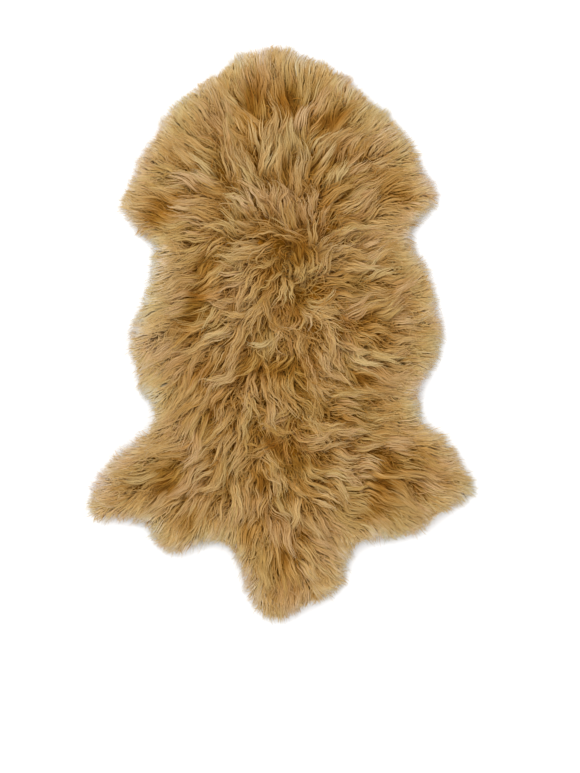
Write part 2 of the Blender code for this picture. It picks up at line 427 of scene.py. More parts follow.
# ---------------------------------------------------------------- settings


class WoolSettings(bpy.types.PropertyGroup):
    """Sizes of the tufts, locks and hairs of the wool."""

    tuft_spacing: FloatProperty(
        name="Tuft spacing", description="Distance between the middles of the tufts",
        default=24 * MM, unit="LENGTH")
    lock_spacing: FloatProperty(
        name="Lock spacing", description="Distance between the roots of the locks",
        default=8.0 * MM, unit="LENGTH")
    whorl_spacing: FloatProperty(
        name="Whorl spacing", description="Between the locks added where the wool stands up",
        default=5.5 * MM, unit="LENGTH")
    hairs_per_lock: IntProperty(
        name="Hairs per lock", description="Ribbons in each lock", default=6, min=1)
    hair_width: FloatProperty(
        name="Hair width", description="Usual width of a ribbon at its widest",
        default=1.75 * MM, unit="LENGTH")
    hair_length: FloatProperty(
        name="Hair length", description="How far the longer hairs lie over the skin",
        default=66 * MM, unit="LENGTH")
    lock_radius: FloatProperty(
        name="Lock radius", description="Half the width of a lock at its root",
        default=5.5 * MM, unit="LENGTH")
    crimp_length: FloatProperty(
        name="Crimp length", description="Length of one wave of the wool",
        default=19 * MM, unit="LENGTH")
    crimp_depth: FloatProperty(
        name="Crimp depth", description="Sideways reach of a wave on the back",
        default=1.4 * MM, unit="LENGTH")
    overhang: FloatProperty(
        name="Overhang", description="How unevenly the tufts end at the outline",
        default=4.2 * MM, unit="LENGTH")
    fringe_spacing: FloatProperty(
        name="Fringe spacing", description="Distance between the fine hairs of the fringe",
        default=2.25 * MM, unit="LENGTH")
    underwool_spacing: FloatProperty(
        name="Underwool spacing", description="Distance between the short hairs underneath",
        default=4.5 * MM, unit="LENGTH")
    seed: IntProperty(
        name="Seed", description="Start of the random draws", default=11)


class ColourSettings(bpy.types.PropertyGroup):
    """Colours of the wool and the hide, as linear values."""

    # The root's dark colour is partly the wool's own and partly painted shade deep in the pile
    root: FloatVectorProperty(
        name="Root", description="Wool at the skin", subtype="COLOR", size=3,
        default=(0.30, 0.120, 0.010))
    lower: FloatVectorProperty(
        name="Lower wool", description="Wool a quarter of the way up", subtype="COLOR",
        size=3, default=(0.42, 0.208, 0.038))
    body: FloatVectorProperty(
        name="Body", description="Wool half way up", subtype="COLOR", size=3,
        default=(0.520, 0.317, 0.119))
    tip: FloatVectorProperty(
        name="Tip", description="Wool at its tips", subtype="COLOR", size=3,
        default=(0.590, 0.418, 0.205))
    end: FloatVectorProperty(
        name="End", description="The last of the tips, paled by light", subtype="COLOR",
        size=3, default=(0.61, 0.54, 0.42))
    deep: FloatVectorProperty(
        name="Deep tint", description="Tint of the deepest hairs", subtype="COLOR", size=3,
        soft_max=2.0, default=(0.76, 0.65, 0.42))
    pale: FloatVectorProperty(
        name="Pale tint", description="Tint of the palest hairs", subtype="COLOR", size=3,
        soft_max=3.0, default=(1.03, 1.20, 1.75))
    hide: FloatVectorProperty(
        name="Hide", description="Tanned underside", subtype="COLOR", size=3,
        default=(0.66, 0.55, 0.41))


class StageSettings(bpy.types.PropertyGroup):
    """The floor, the light and the camera."""

    floor: FloatVectorProperty(
        name="Floor", description="Colour of the floor", subtype="COLOR", size=3,
        default=(0.93, 0.93, 0.93))
    sky: FloatProperty(
        name="Sky", description="Strength of the light from all round", default=1.09)
    lamp: FloatProperty(
        name="Lamp", description="Power of the soft lamp overhead", default=45.0,
        subtype="POWER")
    lens: FloatProperty(
        name="Lens", description="Focal length in millimetres", default=85.0)


# ---------------------------------------------------------------- grids over the rug


class Field:
    """Values at the points of a square grid over the rug. A value between four points is
    their mean, weighted by how near each is."""

    def __init__(self, values):
        self.values = values

    def at(self, places):
        column, row = np.moveaxis((places - GRID_LOW) / GRID_STEP, -1, 0)
        column = column.clip(0, self.values.shape[1] - 1.001)
        row = row.clip(0, self.values.shape[0] - 1.001)
        left, below = column.astype(int), row.astype(int)
        right_share, upper_share = column - left, row - below
        if self.values.ndim == 3:
            right_share, upper_share = right_share[..., None], upper_share[..., None]
        low = (1 - right_share) * self.values[below, left]
        low = low + right_share * self.values[below, left + 1]
        high = (1 - right_share) * self.values[below + 1, left]
        high = high + right_share * self.values[below + 1, left + 1]
        return (1 - upper_share) * low + upper_share * high


GRID_LOW = np.array(CAD_BOX[0][:2]) - GRID_MARGIN
GRID_HIGH = np.array(CAD_BOX[1][:2]) + GRID_MARGIN
GRID = np.stack(np.meshgrid(*(
    np.arange(low, high, GRID_STEP) for low, high in zip(GRID_LOW, GRID_HIGH))), axis=-1)


def upright(places):
    """1 where the directions of the combing cancel out, so that the wool stands up and
    curls, and 0 where they agree."""
    return 1 - smooth(np.linalg.norm(COMBED.at(places), axis=-1), 0.15, 0.80)


def hollow(places):
    """How deep in a hollow each place is, and below 0 on a crest: the sum of HOLLOWS, each
    depth exp(-(along / half length)^2 - (across / half width)^2)."""
    total = 0
    for _, x, y, degrees, half_length, half_width, depth in HOLLOWS:
        cos, sin = math.cos(math.radians(degrees)), math.sin(math.radians(degrees))
        right, ahead = places[..., 0] - x, places[..., 1] - y
        lengthways = (right * cos + ahead * sin) / half_length
        crossways = (ahead * cos - right * sin) / half_width
        total = total + depth * np.exp(-(lengthways**2) - crossways**2)
    return total.clip(-1, 1)


def unit(vectors):
    """The vectors at length 1."""
    return vectors / np.linalg.norm(vectors, axis=-1, keepdims=True).clip(1e-9)


def turned(vectors, angle):
    """The vectors, turned to the left by an angle: x cos - y sin and x sin + y cos."""
    cos, sin = np.cos(angle), np.sin(angle)
    x, y = vectors[..., 0], vectors[..., 1]
    return np.stack([x * cos - y * sin, x * sin + y * cos], axis=-1)


def nearness(places, points, reach):
    """The weight of each point at each place, exp(-distance^2 / (2 reach^2)), as a share of
    all the weights there."""
    gaps = ((places[..., None, :] - points) ** 2).sum(axis=-1)
    gaps = gaps - gaps.min(axis=-1, keepdims=True)
    weights = np.exp(-gaps / (2 * reach**2))
    return weights / weights.sum(axis=-1, keepdims=True)


def blurred(values, rounds):
    """Each point becomes the mean of itself and its neighbours, in x and then y, again and
    again."""
    for _ in range(rounds):
        for axis in (0, 1):
            values = (np.roll(values, 1, axis) + 2 * values + np.roll(values, -1, axis)) / 4
    return values


def swell(places, name):
    """Smooth unevenness with a spread of 1: the sum of SWELL_WAVES sine waves of 0.7 to 1.4
    times the wavelength in SWELLS, in random directions and phases."""
    wavelength, seed = SWELLS[name]
    draw = np.random.default_rng(seed)
    total = 0
    for _ in range(SWELL_WAVES):
        angle, phase = draw.uniform(0, math.tau, 2)
        across = places[..., 0] * math.cos(angle) + places[..., 1] * math.sin(angle)
        total = total + np.sin(math.tau * across / (wavelength * draw.uniform(0.7, 1.4)) + phase)
    return total / math.sqrt(SWELL_WAVES / 2)


def smooth(values, low, high):
    """0 below low, 1 above high, and an even S between: 3 t^2 - 2 t^3."""
    t = ((values - low) / (high - low)).clip(0, 1)
    return t * t * (3 - 2 * t)


def cad_outline():
    """The rim of the CAD solid, in order round it: the edges between a face that looks up
    and one that looks down."""
    body = bmesh.new()
    body.from_mesh(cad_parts[NODE].data)
    bmesh.ops.remove_doubles(body, verts=body.verts, dist=0.01 * MM)
    body.normal_update()
    rim = {edge for edge in body.edges
           if len({face.normal.z > 0 for face in edge.link_faces}) == 2}
    edge = min(rim, key=lambda e: e.index)
    first = vertex = edge.verts[0]
    outline = []
    while edge:
        rim.discard(edge)
        vertex = edge.other_vert(vertex)
        outline.append(vertex.co.xy[:])
        edge = next((e for e in vertex.link_edges if e in rim), None)
    closed = vertex == first
    body.free()
    if not closed:
        raise RuntimeError("the CAD solid's rim isn't one closed line")
    return np.array(outline)


def inside_distance(places, outline):
    """How far each place is inside the outline, and below 0 outside it: the distance to the
    nearest side. A place is inside if a line from it to the right crosses an odd count of
    sides."""
    nearest = np.full(places.shape[:-1], np.inf)
    inside = np.zeros(places.shape[:-1], bool)
    for start, end in zip(outline, np.roll(outline, -1, axis=0)):
        side, offset = end - start, places - start
        along = (offset @ side / (side @ side)).clip(0, 1)
        gap = np.linalg.norm(offset - along[..., None] * side, axis=-1)
        nearest = np.minimum(nearest, gap)
        crosses = (start[1] > places[..., 1]) != (end[1] > places[..., 1])
        rise = side[1] if side[1] else 1.0
        inside ^= crosses & (offset[..., 0] < offset[..., 1] * side[0] / rise)
    return np.where(inside, nearest, -nearest)


def cad_height():
    """The height of the CAD solid's top over each point of the grid, a little smoothed, and
    RIM_HEIGHT outside it."""
    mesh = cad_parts[NODE].data
    tree = BVHTree.FromPolygons(
        [v.co[:] for v in mesh.vertices], [p.vertices[:] for p in mesh.polygons])
    above, down = CAD_BOX[1][2] + 1.0, Vector((0, 0, -1))
    hits = [tree.ray_cast(Vector((x, y, above)), down)[0] for x, y in GRID.reshape(-1, 2)]
    heights = np.array([hit.z if hit else RIM_HEIGHT for hit in hits])
    return blurred(heights.reshape(GRID.shape[:2]), 2)


def combing(inside):
    """The direction that the wool lies in, as vectors on the grid. Each is the mean of the
    directions in COMBING, weighted by nearness, with a small stray part. Round the whorl it
    is turned by WHORL_TURN exp(-(distance / WHORL_REACH)^2), and near the outline the way out
    is added. Where the directions disagree, as on a parting, the vector is short, and mostly
    stray."""
    _, x, y, degrees = zip(*COMBING)
    headings = np.radians(degrees)
    ways = np.column_stack([np.cos(headings), np.sin(headings)])
    lie = nearness(GRID, np.column_stack([x, y]), COMBING_REACH) @ ways
    lie = lie + STRAY * np.stack([swell(GRID, "combing, x"), swell(GRID, "combing, y")], axis=-1)
    gap = np.linalg.norm(GRID - (WHORL_X, WHORL_Y), axis=-1)
    lie = turned(lie, WHORL_TURN * np.exp(-((gap / WHORL_REACH) ** 2)))
    out_y, out_x = np.gradient(blurred(inside, 6))
    out = -unit(np.stack([out_x, out_y], axis=-1))
    pull = FRINGE_PULL * (1 - smooth(inside, 0, FRINGE_WIDTH))
    return lie + pull[..., None] * out


def edge_tufts(places):
    """How far past the CAD rim the wool reaches near each place, and below 0 where it stops
    short: the sum of EDGE_TUFTS, each its own reach times exp(-(distance / half width)^2),
    and some unevenness."""
    total = EDGE_UNEVEN * swell(places, "outline")
    for _, x, y, out, half_width in EDGE_TUFTS:
        gap = np.linalg.norm(places - (x, y), axis=-1)
        total = total + out * np.exp(-((gap / half_width) ** 2))
    return total


OUTLINE = cad_outline()
INSIDE = Field(inside_distance(GRID, OUTLINE))
INWARD = Field(unit(np.stack(np.gradient(blurred(INSIDE.values, 3))[::-1], axis=-1)))
HEIGHT = Field(cad_height())
COMBED = Field(combing(INSIDE.values))
EDGE = Field(edge_tufts(GRID))


def combed_out(places):
    """1 along the rim, where the wool is brushed out straight and fluffy, and 0 well inside."""
    return 1 - smooth(INSIDE.at(places), BRUSHED_TO, BRUSHED_FROM)


def curliness(places):
    """1 on the spine and falling away from it like a bell curve."""
    past_end = places[..., 1] - places[..., 1].clip(SPINE_BACK, SPINE_FRONT)
    gap = (places[..., 0] - SPINE_X) ** 2 + past_end**2
    return np.exp(-gap / SPINE_WIDTH**2)


# ---------------------------------------------------------------- materials


class Socket:
    """An output of a material's node. Sums, differences, products and quotients of sockets
    and numbers add Math nodes."""

    def __init__(self, shader, output):
        self.shader = shader
        self.output = output

    def math(self, operation, *values):
        inputs = dict(enumerate(values))
        return self.shader.node("ShaderNodeMath", {"operation": operation}, inputs)

    def __add__(self, other):
        return self.math("ADD", self, other)

    __radd__ = __add__

    def __mul__(self, other):
        return self.math("MULTIPLY", self, other)

    __rmul__ = __mul__

    def __sub__(self, other):
        return self.math("SUBTRACT", self, other)

    def __rsub__(self, other):
        return self.math("SUBTRACT", other, self)

    def __truediv__(self, other):
        return self.math("DIVIDE", self, other)

    def __rtruediv__(self, other):
        return self.math("DIVIDE", other, self)

    def floor(self):
        return self.math("FLOOR", self)

    def rescaled(self, low, high, new_low, new_high):
        """This value, moved from low..high to new_low..new_high in an even S."""
        return self.shader.node(
            "ShaderNodeMapRange", {"interpolation_type": "SMOOTHSTEP"},
            {"Value": self, "From Min": low, "From Max": high,
             "To Min": new_low, "To Max": new_high})


class Shader:
    """A material, made from expressions on sockets."""

    def __init__(self, name):
        self.material = bpy.data.materials.new(name)
        self.material.use_nodes = True
        self.tree = self.material.node_tree
        self.tree.nodes.clear()

    def node(self, kind, settings=None, inputs=None, output=0):
        """Adds a node of this kind. Its settings are set first: stops are a ramp's, each a
        place and a colour, and interpolation is how it goes from one to the next. Then come
        its inputs, each a number, a colour or a Socket."""
        node = self.tree.nodes.new(kind)
        for key, value in (settings or {}).items():
            if key == "stops":
                while len(node.color_ramp.elements) < len(value):
                    node.color_ramp.elements.new(1.0)
                for element, (place, colour) in zip(node.color_ramp.elements, value):
                    element.position = place
                    element.color = (*colour, 1.0)
            elif key == "interpolation":
                node.color_ramp.interpolation = value
            else:
                setattr(node, key, value)
        for key, value in (inputs or {}).items():
            if isinstance(value, Socket):
                self.tree.links.new(value.output, node.inputs[key])
            else:
                node.inputs[key].default_value = value
        return Socket(self, node.outputs[output])

    def noise(self, place, scale, detail, kind="FBM"):
        """Noise with features about 1 / scale across."""
        return self.node("ShaderNodeTexNoise", {"noise_type": kind}, {
            "Vector": place, "Scale": scale, "Detail": detail})

    def bump(self, height, strength, distance):
        """A normal that rises and falls with a value, by this distance at full strength."""
        return self.node("ShaderNodeBump", None, {
            "Strength": strength, "Distance": distance, "Height": height}, "Normal")

    def mixed(self, factor, first, second, blend="MIX"):
        """Two colours, mixed by a factor."""
        factor_input, first_input, second_input, result = 0, 6, 7, 2
        pair = {first_input: first, second_input: second}
        pair = {key: colour if isinstance(colour, Socket) else (*colour, 1.0)
                for key, colour in pair.items()}
        return self.node(
            "ShaderNodeMix", {"data_type": "RGBA", "blend_type": blend},
            {factor_input: factor, **pair}, result)

    def finished(self, colour, roughness, normal=None, **constants):
        """Ends the material in a Principled BSDF, and returns it."""
        inputs = {"Base Color": colour, "Roughness": roughness, **constants}
        if normal:
            inputs["Normal"] = normal
        surface = self.node("ShaderNodeBsdfPrincipled", None, inputs)
        output = self.tree.nodes.new("ShaderNodeOutputMaterial")
        self.tree.links.new(surface.output, output.inputs["Surface"])
        return self.material


# The wool's map has a column for each tone of each hue
HUES = 4
TONES = 8
HUE_TINTS = (  # golden, olive, tan, pink
    (1.04, 0.99, 0.86), (0.98, 1.02, 0.96), (1.0, 1.0, 1.0), (1.02, 0.98, 1.04))
FIBRES_ACROSS = 5.0  # features of the streaks over a hair's width
FIBRES_ALONG = 2.5  # and over its length
STREAKS = (  # each channel's share of its colour in the darkest streak, partly painted shade between fibres, and the rise from it
    ("Red", 0.74, 0.46), ("Green", 0.71, 0.50), ("Blue", 0.62, 0.60))


def wool_material():
    """Wool from root to tip. The map's u picks a column, which gives the hair its hue and its
    tone, and runs across the hair within the column. Its v runs from the root to the tip; the
    dark root end is partly the wool's own colour and partly painted shade deep in the pile,
    and v is lowered to paint shade and raised to paint highlights. The colour at v is
    multiplied by the tints of the tone and the hue, and by streaks of noise along the hair,
    whose dark lines are partly the fibres' own colour and partly painted shade between
    fibres, and which also set its roughness and its bump."""
    colours = bpy.context.scene.sheepskin_colours
    shader = Shader("camel wool")
    place = shader.node("ShaderNodeUVMap", {"uv_map": UV_NAME})
    u = shader.node("ShaderNodeSeparateXYZ", None, {0: place}, "X")
    v = shader.node("ShaderNodeSeparateXYZ", None, {0: place}, "Y")
    column = (u * (HUES * TONES)).floor()
    hue = (column / TONES).floor()
    tone = (column - hue * TONES) / (TONES - 1)
    fibres = shader.noise(shader.node("ShaderNodeCombineXYZ", None, {
        "X": u * (HUES * TONES * FIBRES_ACROSS), "Y": v * FIBRES_ALONG,
        "Z": column * 3.7}), 1.0, 2.0)  # 3.7 sets the columns' streaks apart
    # The dark root end of this ramp is partly painted shade deep in the pile
    grown = shader.node("ShaderNodeValToRGB", {"stops": (
        (0.0, tuple(colours.root)), (0.23, tuple(colours.lower)),
        (0.50, tuple(colours.body)), (0.80, tuple(colours.tip)),
        (1.0, tuple(colours.end)))}, {0: v})
    pale = shader.node("ShaderNodeValToRGB", {"stops": (
        (0.0, tuple(colours.deep)), (0.5, (0.92, 0.91, 0.88)), (0.75, (1.02, 1.06, 1.16)),
        (1.0, tuple(colours.pale)))}, {0: tone})
    hues = shader.node("ShaderNodeValToRGB", {"interpolation": "CONSTANT", "stops": tuple(
        ((number + 0.5) / HUES - 0.05, tint) for number, tint in enumerate(HUE_TINTS)),
    }, {0: (hue + 0.5) / HUES})
    shade = fibres.rescaled(0.3, 0.7, 0.0, 1.0)
    # The dark streaks are partly the fibres' own colour and partly painted shade between fibres
    streaks = shader.node("ShaderNodeCombineColor", None, {
        channel: shade * rise + least for channel, least, rise in STREAKS})
    colour = grown
    for tint in (pale, hues, streaks):
        colour = shader.mixed(1.0, colour, tint, "MULTIPLY")
    roughness = shade * 0.20 + 0.62
    normal = shader.bump(fibres, 0.3, 0.15 * MM)
    return shader.finished(colour, roughness, normal, **{
        "Specular IOR Level": 0.08, "Sheen Weight": 0.05, "Sheen Roughness": 0.5,
        "Sheen Tint": (1.0, 0.80, 0.50, 1.0)})


def undercoat_material():
    """Short, dense wool near the skin: deep brown, the root's colour darkened further as
    painted shade deep in the pile, mottled, with a fine woolly bump.
    """
    colours = bpy.context.scene.sheepskin_colours
    shader = Shader("wool undercoat")
    place = shader.node("ShaderNodeTexCoord", None, None, "Object")
    mottle = shader.noise(place, 90.0, 3.0).rescaled(0.35, 0.68, 0.0, 1.0)
    # Mottled from 0.45 to 1.1 times the root's colour, darkened as painted shade deep in the
    # pile
    colour = shader.mixed(
        mottle, tuple(0.45 * c for c in colours.root), tuple(1.1 * c for c in colours.root))
    normal = shader.bump(shader.noise(place, 700.0, 2.0), 0.8, 1.5 * MM)
    return shader.finished(colour, 1.0, normal, **{"Specular IOR Level": 0.0})


def hide_material():
    """Tanned skin, flesh side out: cream suede with a nap and faint darker veins."""
    colours = bpy.context.scene.sheepskin_colours
    shader = Shader("tanned hide")
    place = shader.node("ShaderNodeTexCoord", None, None, "Object")
    patches = shader.noise(place, 9.0, 5.0)
    veins = shader.noise(place, 14.0, 3.0, "RIDGED_MULTIFRACTAL")
    nap = shader.noise(place, 520.0, 4.0)
    pale = tuple(min(1.0, 1.12 * c) for c in colours.hide)
    deep = tuple(0.80 * c for c in colours.hide)
    colour = shader.mixed(patches.rescaled(0.3, 0.7, 0.0, 1.0), deep, pale)
    colour = shader.mixed(veins.rescaled(0.75, 1.2, 0.0, 0.25), colour, deep)
    colour = shader.mixed(nap.rescaled(0.4, 0.7, 0.0, 0.2), colour, deep)
    roughness = nap * 0.15 + 0.80
    normal = shader.bump(nap, 0.5, 0.4 * MM)
    return shader.finished(colour, roughness, normal, **{"Specular IOR Level": 0.2})


def floor_material():
    """A plain pale floor."""
    shader = Shader("pale floor")
    colour = (*bpy.context.scene.sheepskin_stage.floor, 1.0)
    return shader.finished(colour, 0.9, **{"Specular IOR Level": 0.0})


# ---------------------------------------------------------------- meshes


def mesh_object(name, places, faces, material):
    """A mesh object at the origin with this name."""
    mesh = bpy.data.meshes.new(name)
    mesh.from_pydata(places, [], faces)
    made = bpy.data.objects.new(name, mesh)
    mesh.materials.append(material)
    bpy.context.scene.collection.objects.link(made)
    return made


def carried(piece):
    """The piece rides on the rug's one body and stands for its solid."""
    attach(piece, "root")
    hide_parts(NODE)
    return piece


def contour(level):
    """A closed line this far inside the outline: each of its points walks down the slope of
    the distance until it is there, and then evens out with its neighbours."""
    line = OUTLINE.copy()
    for _ in range(CONTOUR_ROUNDS):
        short = level - INSIDE.at(line)
        line = line + CONTOUR_SHARE * short[:, None] * INWARD.at(line)
        line = (np.roll(line, 1, axis=0) + 4 * line + np.roll(line, -1, axis=0)) / 6
    return line


def triangle_grid(low, high, step):
    """Points of a grid of equal triangles with this side, between two corners."""
    x, y = np.meshgrid(
        np.arange(low[0], high[0], step), np.arange(low[1], high[1], step * math.sqrt(3) / 2))
    x[::2] += step / 2
    return np.column_stack([x.ravel(), y.ravel()])


def closed_mat(name, line, step, top, bottom, material):
    """A closed mat inside a line, of triangles with about this side: the same triangles at
    the height top(places) and at bottom, joined round the rim by one row of faces each to a
    line half way up between them. That line stands out by a quarter of the mat's height."""
    within = triangle_grid(line.min(axis=0), line.max(axis=0), step)
    within = within[inside_distance(within, line) > 0.6 * step]
    rim = len(line)
    sides = [(i, (i + 1) % rim) for i in range(rim)]
    flat, _, triangles, *_ = delaunay_2d_cdt(
        [Vector(place) for place in np.concatenate([line, within])], sides, [], 1, 1e-6)
    flat = np.array([place[:] for place in flat])
    count = len(flat)
    heights = top(flat)
    middle = 0.5 * (heights[:rim] + bottom)
    inner = flat + 0.25 * (heights - bottom)[:, None] * INWARD.at(flat)
    points = np.concatenate([
        np.column_stack([inner, heights]),
        np.column_stack([inner, np.full(count, bottom)]),
        np.column_stack([flat[:rim], middle])])
    faces = [tuple(face) for face in triangles]
    faces += [tuple(count + i for i in reversed(face)) for face in triangles]
    for a, b in sides:
        faces += [(a, 2 * count + a, 2 * count + b, b),
                  (count + a, count + b, 2 * count + b, 2 * count + a)]
    made = mesh_object(name, points, faces, material)
    body = bmesh.new()
    body.from_mesh(made.data)
    bmesh.ops.recalc_face_normals(body, faces=body.faces)
    body.to_mesh(made.data)
    body.free()
    made.data.shade_smooth()
    return made


def undercoat_height(places):
    """The height of the undercoat: its uneven share of the wool's height, less in a hollow,
    from UNDERCOAT_RISE inwards, and at least 2 mm over the hide."""
    inner = smooth(INSIDE.at(places), UNDERCOAT_INSET, UNDERCOAT_INSET + UNDERCOAT_RISE)
    rough = 1 + UNDERCOAT_ROUGH * swell(places, "undercoat")
    share = UNDERCOAT_SHARE * rough - HOLLOW_DROP * hollow(places).clip(0, 1)
    return np.maximum(HEIGHT.at(places) * share * inner, SKIN_THICKNESS + 2 * MM)


def scattered(step, inset, draw):
    """Points all over the hide: a grid of equal triangles with this side, each point moved
    at random, kept where it is this far inside the outline."""
    places = triangle_grid(*np.array(CAD_BOX), step)
    places = places + draw.uniform(-0.4, 0.4, places.shape) * step
    return places[INSIDE.at(places) > inset]


# ---------------------------------------------------------------- wool


def walked(roots, turn, bend):
    """The ways that the wool lies from these roots, seen from above: each walks in short
    steps along the combing, turned by its own turn, by its own bend for each metre and by two
    swells that all share."""
    places = [roots]
    for number in range(WALK_STEPS):
        here = places[-1]
        angle = turn + bend * number * WALK_STEP
        angle = angle + LONG_BENDS * swell(here, "long bends")
        angle = angle + SHORT_BENDS * swell(here, "short bends")
        places.append(here + WALK_STEP * turned(unit(COMBED.at(here)), angle))
    return np.stack(places, axis=1)


def reach_of(paths, overhang):
    """How far along each path it passes the wool's outline by this overhang."""
    out = INSIDE.at(paths) + EDGE.at(paths) + overhang[:, None] < 0
    out[:, -1] = True
    return out.argmax(axis=1) * WALK_STEP


def along(paths, distance):
    """The place at each distance along a path, straight between its steps."""
    steps = (distance / WALK_STEP).clip(0, WALK_STEPS - 0.001)
    before = steps.astype(int)
    share = (steps - before)[..., None]
    index = np.arange(len(paths))[:, None]
    return (1 - share) * paths[index, before] + share * paths[index, before + 1]


def left_of(paths, distance):
    """The direction to the left of a path at each distance along it, from the places 2 mm
    before and past it."""
    way = unit(along(paths, distance + 2 * MM) - along(paths, distance - 2 * MM))
    return np.dstack([-way[..., 1], way[..., 0]])


def half_widths(centre, side, roll, width, taper):
    """Half the width of each ribbon at each row, as a vector: width times taper across its own
    line, level at first, and then rolled about that line."""
    level = np.dstack([side, np.zeros(side.shape[:2])])
    steep = np.cross(unit(np.gradient(centre, axis=1)), level)
    across = unit(level * np.cos(roll)[..., None] + steep * np.sin(roll)[..., None])
    return 0.5 * (width[:, None] * taper)[..., None] * across


def hues_at(roots, draw):
    """Each hair's hue: patches of the four hues that run into one another."""
    first = swell(roots, "first hue") + draw.normal(0, HUE_SCATTER, len(roots))
    second = swell(roots, "second hue") + draw.normal(0, HUE_SCATTER, len(roots))
    return (first > 0).astype(int) + 2 * (second > SECOND_HUE_FROM).astype(int)


def sunk(deep):
    """The share of its height that the wool loses in a hollow, or gains on a crest."""
    return HOLLOW_DROP * np.where(deep > 0, deep, CREST_GAIN * deep)


def painted_hollow_light(ripe_and_shade, deep):
    """How far up from the root the wool's colour is. In a hollow it is moved back towards the
    root's colour as painted shade, and on a crest on towards the tips' as a painted highlight."""
    back = ripe_and_shade * (1 - HOLLOW_SHADE * deep.clip(0, 1))
    return back + (1 - ripe_and_shade) * CREST_HIGHLIGHT * (-deep).clip(0, 1)


def varied(amounts, curl, stands):
    """One of TUFT_TURN, TUFT_BEND, LOCK_TURN and LOCK_BEND, summed for each root."""
    anywhere, on_the_spine, standing = amounts
    return anywhere + on_the_spine * curl + standing * stands


class Tufts:
    """Groups of locks that lie, wave and end together."""

    def __init__(self, settings):
        draw = np.random.default_rng(settings.seed)
        self.roots = scattered(settings.tuft_spacing, SKIN_INSET - 10 * MM, draw)
        count = len(self.roots)
        curl, stands = curliness(self.roots), upright(self.roots)
        self.turn = draw.normal(0, 1, count) * varied(TUFT_TURN, curl, stands)
        self.bend = draw.normal(0, 1, count) * varied(TUFT_BEND, curl, stands)
        self.paths = walked(self.roots, self.turn, self.bend)
        self.length = settings.hair_length * draw.uniform(*TUFT_LENGTHS, count)
        self.overhang = draw.normal(0, 1, count).clip(-2, 1.8) * settings.overhang
        self.level = draw.uniform(*TUFT_LEVELS, count)
        self.crimp = settings.crimp_length * draw.uniform(*TUFT_CRIMPS, count)
        self.phase = draw.uniform(0, math.tau, count)
        self.depth = draw.uniform(*TUFT_DEPTHS, count)
        self.tone = draw.normal(0, TUFT_TONE, count)

    def nearest(self, places):
        """Which tuft each place is in, and how far it is from the tuft's middle."""
        gaps = np.linalg.norm(places[:, None] - self.roots, axis=-1)
        return gaps.argmin(axis=1), gaps.min(axis=1)

    def shared(self, places):
        """The turn and the bend at each place: the mean of the tufts', by nearness."""
        weights = nearness(places, self.roots, TUFT_REACH)
        return weights @ self.turn, weights @ self.bend


